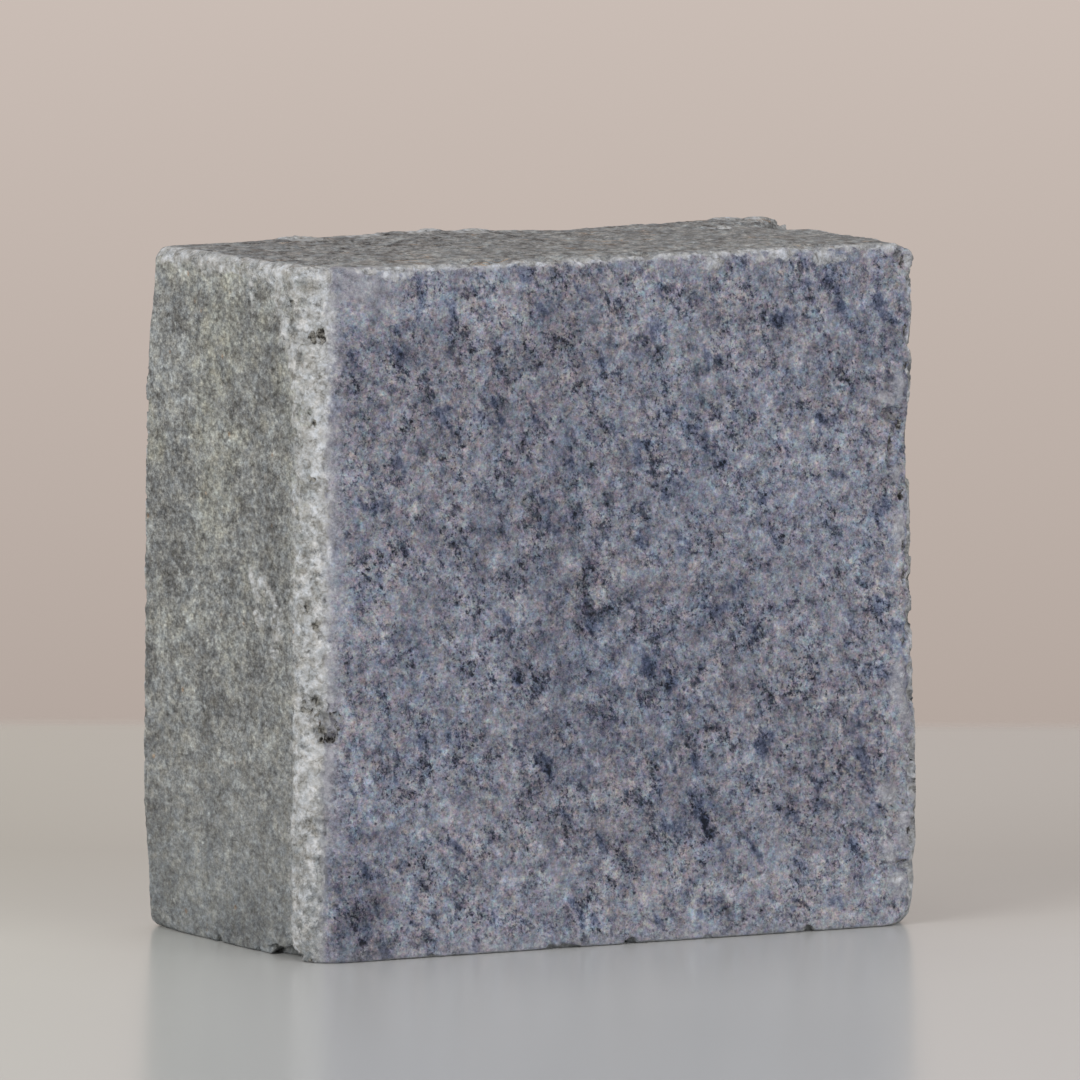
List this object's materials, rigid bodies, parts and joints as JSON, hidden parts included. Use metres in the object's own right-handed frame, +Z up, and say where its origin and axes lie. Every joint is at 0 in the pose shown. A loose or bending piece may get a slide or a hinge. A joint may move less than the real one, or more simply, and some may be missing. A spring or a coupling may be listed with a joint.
{
  "type": "sharpening whetstone",
  "caption": "Near-square block of grey speckled sharpening stone, standing on its narrow side, with flat rubbing faces and worn, chipped edges.",
  "frame": {"origin": "middle of the bounding box's base, on the surface that the block stands on", "axes": "+Z up; -Y out of the front honing face and +Y out of the back one; +X to the right, along the long side, seen from the front"},
  "size_m": [0.0766, 0.0394, 0.0753],
  "materials": {
    "stone": "sawn and rubbed, matt, fine-grained, whitened along the edges"
  },
  "bodies": {
    "root": {"stone_block": "stone"}
  },
  "joints": []
}
